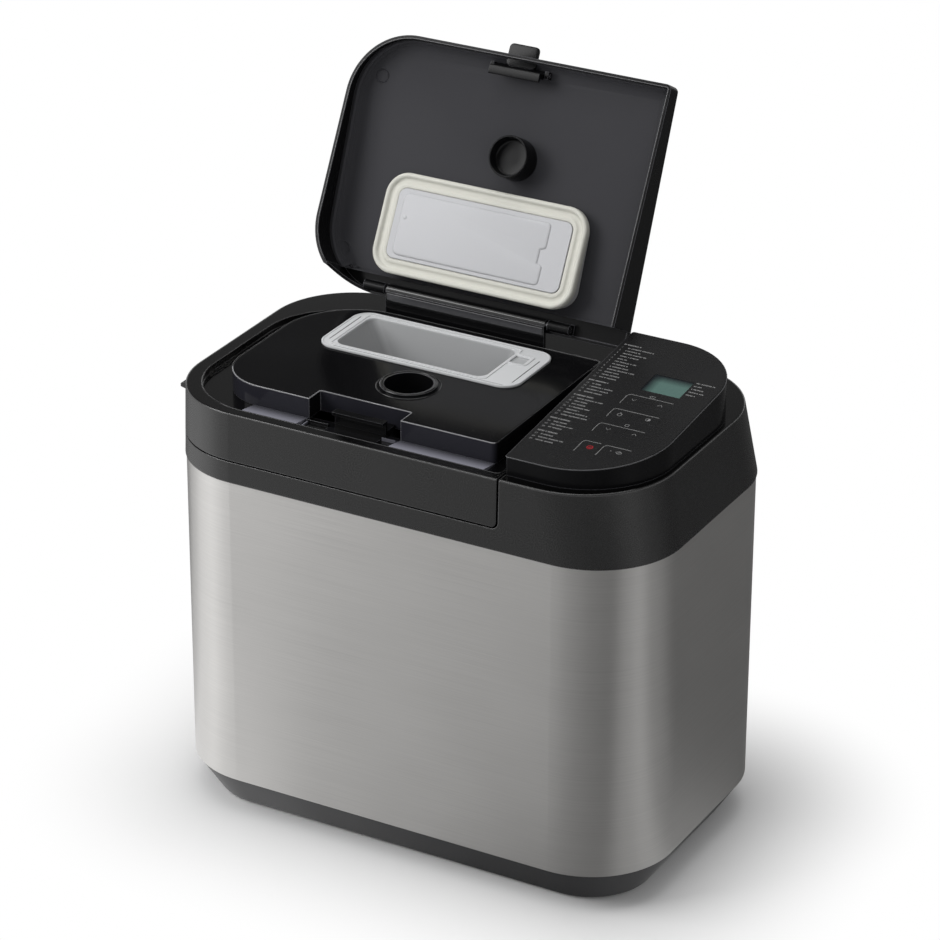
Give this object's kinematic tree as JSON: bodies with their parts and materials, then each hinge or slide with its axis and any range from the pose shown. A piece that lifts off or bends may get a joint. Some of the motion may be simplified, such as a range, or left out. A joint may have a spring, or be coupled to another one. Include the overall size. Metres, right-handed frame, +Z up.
{
  "type": "bread machine",
  "caption": "Countertop bread machine: steel-wrapped oven, hinged main lid, open ingredient dispenser lid, sloping key panel, removable pan with kneading blade driven by belt.",
  "frame": {"origin": "on the floor plane under the middle of the casing", "axes": "+X to the right towards the key panel, +Y to the back, +Z up"},
  "size_m": [0.4085, 0.28, 0.5442],
  "materials": {
    "base_plastic": "matte",
    "foot_rubber": "matte",
    "fastener_steel": "bright",
    "chassis_steel": "zinc grey",
    "casing_steel": "horizontal brushing",
    "band_plastic": "fine grain",
    "deck_gloss": "polished",
    "panel_gloss": "polished",
    "film_gloss": "polished film",
    "sill_grey": "polished",
    "lid_plastic": "satin",
    "hinge_plastic": "satin",
    "bin_plastic": "satin",
    "gasket_silicone": "matte",
    "carrier_plastic": "satin",
    "plate_plastic": "satin",
    "latch_plastic": "satin",
    "display_glass": "clear cover",
    "key_gloss": "polished",
    "board_laminate": "satin",
    "switch_plastic": "matte",
    "oven_sheet": "mill finish",
    "heater_sheath": "oxidised",
    "sensor_metal": "plain",
    "pan_coating": "non-stick coat",
    "blade_coating": "non-stick coat",
    "handle_wire": "drawn wire",
    "socket_cast": "cast",
    "bush_bronze": "sintered",
    "shaft_steel": "ground",
    "pulley_plastic": "moulded",
    "belt_rubber": "matte",
    "motor_steel": "zinc",
    "coil_plastic": "lacquered",
    "gland_plastic": "matte"
  },
  "bodies": {
    "machine": {"base_skirt": "base_plastic", "rubber_feet": "foot_rubber", "base_screws": "fastener_steel", "chassis_plate": "chassis_steel", "steel_wrap": "casing_steel", "cord_gland": "gland_plastic", "top_frame": "band_plastic", "lid_hinge_pins": "fastener_steel", "panel_housing": "panel_gloss", "panel_film": "film_gloss", "display_module": "display_glass", "key_board": "board_laminate", "key_switches": "switch_plastic", "oven_chamber": "oven_sheet", "divider_plate": "chassis_steel", "heater_element": "heater_sheath", "heater_clips": "chassis_steel", "temperature_sensor": "sensor_metal", "bearing_housing": "socket_cast", "shaft_bush": "bush_bronze", "motor_body": "motor_steel", "drive_belt": "belt_rubber", "pan_socket": "socket_cast", "power_board": "board_laminate"},
    "main_lid": {"lid_frame": "band_plastic", "lid_deck": "deck_gloss", "front_sill": "sill_grey", "hinge_rail": "hinge_plastic", "lift_tab": "band_plastic", "lid_liner": "oven_sheet", "lid_seal": "gasket_silicone", "dispenser_box": "bin_plastic", "yeast_chamber": "hinge_plastic", "dispenser_pins": "fastener_steel", "lid_solenoids": "coil_plastic", "latch_catch": "latch_plastic"},
    "dispenser_lid": {"dispenser_lid_shell": "lid_plastic", "lid_gasket": "gasket_silicone", "gasket_carrier": "carrier_plastic", "cover_plate": "plate_plastic", "yeast_plug": "lid_plastic", "dispenser_lid_pins": "fastener_steel"},
    "latch": {"lid_latch": "latch_plastic"},
    "bin_flap": {"dispenser_flap": "bin_plastic"},
    "yeast_flap": {"yeast_valve": "bin_plastic"},
    "kneading_drive": {"drive_shaft": "shaft_steel", "large_pulley": "pulley_plastic", "kneading_blade": "blade_coating"},
    "motor_rotor": {"motor_pulley": "shaft_steel"},
    "pan": {"bread_pan": "pan_coating", "pan_fittings": "socket_cast"},
    "bail": {"pan_handle": "handle_wire"},
    "key_down_upper": {"key_down_upper": "key_gloss"},
    "key_up_upper": {"key_up_upper": "key_gloss"},
    "key_loaf_size": {"key_loaf_size": "key_gloss"},
    "key_crust": {"key_crust": "key_gloss"},
    "key_down_lower": {"key_down_lower": "key_gloss"},
    "key_up_lower": {"key_up_lower": "key_gloss"},
    "key_stop": {"key_stop": "key_gloss"},
    "key_start": {"key_start": "key_gloss"}
  },
  "joints": [
    {"name": "main_lid_hinge", "type": "hinge", "parent": "machine", "child": "main_lid", "pos_m": [0, 0.1275, 0.297], "axis": [-1, 0, 0], "range_deg": [0, 75]},
    {"name": "dispenser_lid_hinge", "type": "hinge", "parent": "main_lid", "child": "dispenser_lid", "pos_m": [0, 0.078, 0.361], "axis": [1, 0, 0], "range_deg": [0, 118.2]},
    {"name": "latch_pivot", "type": "hinge", "parent": "dispenser_lid", "child": "latch", "pos_m": [-0.0405, 0.14849, 0.52631], "axis": [-1, 0, 0], "range_deg": [0, 10], "stiffness_Nm_per_rad": 0.05, "springref_deg": -11.46},
    {"name": "bin_flap_hinge", "type": "hinge", "parent": "main_lid", "child": "bin_flap", "pos_m": [-0.043, 0.0505, 0.3008], "axis": [1, 0, 0], "range_deg": [0, 80], "stiffness_Nm_per_rad": 0.03, "springref_deg": -28.65},
    {"name": "yeast_flap_hinge", "type": "hinge", "parent": "main_lid", "child": "yeast_flap", "pos_m": [-0.0307, -0.0145, 0.3048], "axis": [1, 0, 0], "range_deg": [0, 75], "stiffness_Nm_per_rad": 0.01, "springref_deg": -28.65},
    {"name": "kneading_spin", "type": "hinge", "parent": "machine", "child": "kneading_drive", "pos_m": [-0.055, 0, 0.05], "axis": [0, 0, 1], "continuous": true},
    {"name": "motor_spin", "type": "hinge", "parent": "machine", "child": "motor_rotor", "pos_m": [0.13, 0, 0.03], "axis": [0, 0, 1], "continuous": true},
    {"name": "pan_twist", "type": "hinge", "parent": "machine", "child": "pan", "pos_m": [-0.055, 0, 0.04], "axis": [0, 0, 1], "range_deg": [-20, 0]},
    {"name": "bail_hinge", "type": "hinge", "parent": "pan", "child": "bail", "pos_m": [-0.055, 0, 0.2005], "axis": [1, 0, 0], "range_deg": [0, 90]},
    {"name": "key_down_upper_press", "type": "slide", "parent": "machine", "child": "key_down_upper", "axis": [0, 0.0993, -0.9951], "range_m": [0, 0.0004], "stiffness_N_per_m": 500, "springref_m": -0.0005},
    {"name": "key_up_upper_press", "type": "slide", "parent": "machine", "child": "key_up_upper", "axis": [0, 0.0993, -0.9951], "range_m": [0, 0.0004], "stiffness_N_per_m": 500, "springref_m": -0.0005},
    {"name": "key_loaf_size_press", "type": "slide", "parent": "machine", "child": "key_loaf_size", "axis": [0, 0.0993, -0.9951], "range_m": [0, 0.0004], "stiffness_N_per_m": 500, "springref_m": -0.0005},
    {"name": "key_crust_press", "type": "slide", "parent": "machine", "child": "key_crust", "axis": [0, 0.0993, -0.9951], "range_m": [0, 0.0004], "stiffness_N_per_m": 500, "springref_m": -0.0005},
    {"name": "key_down_lower_press", "type": "slide", "parent": "machine", "child": "key_down_lower", "axis": [0, 0.0993, -0.9951], "range_m": [0, 0.0004], "stiffness_N_per_m": 500, "springref_m": -0.0005},
    {"name": "key_up_lower_press", "type": "slide", "parent": "machine", "child": "key_up_lower", "axis": [0, 0.0993, -0.9951], "range_m": [0, 0.0004], "stiffness_N_per_m": 500, "springref_m": -0.0005},
    {"name": "key_stop_press", "type": "slide", "parent": "machine", "child": "key_stop", "axis": [0, 0.0993, -0.9951], "range_m": [0, 0.0004], "stiffness_N_per_m": 500, "springref_m": -0.0005},
    {"name": "key_start_press", "type": "slide", "parent": "machine", "child": "key_start", "axis": [0, 0.0993, -0.9951], "range_m": [0, 0.0004], "stiffness_N_per_m": 500, "springref_m": -0.0005}
  ],
  "couplings": [
    {"joint": "motor_spin", "follows": "kneading_spin", "ratio": 3.4194}
  ]
}
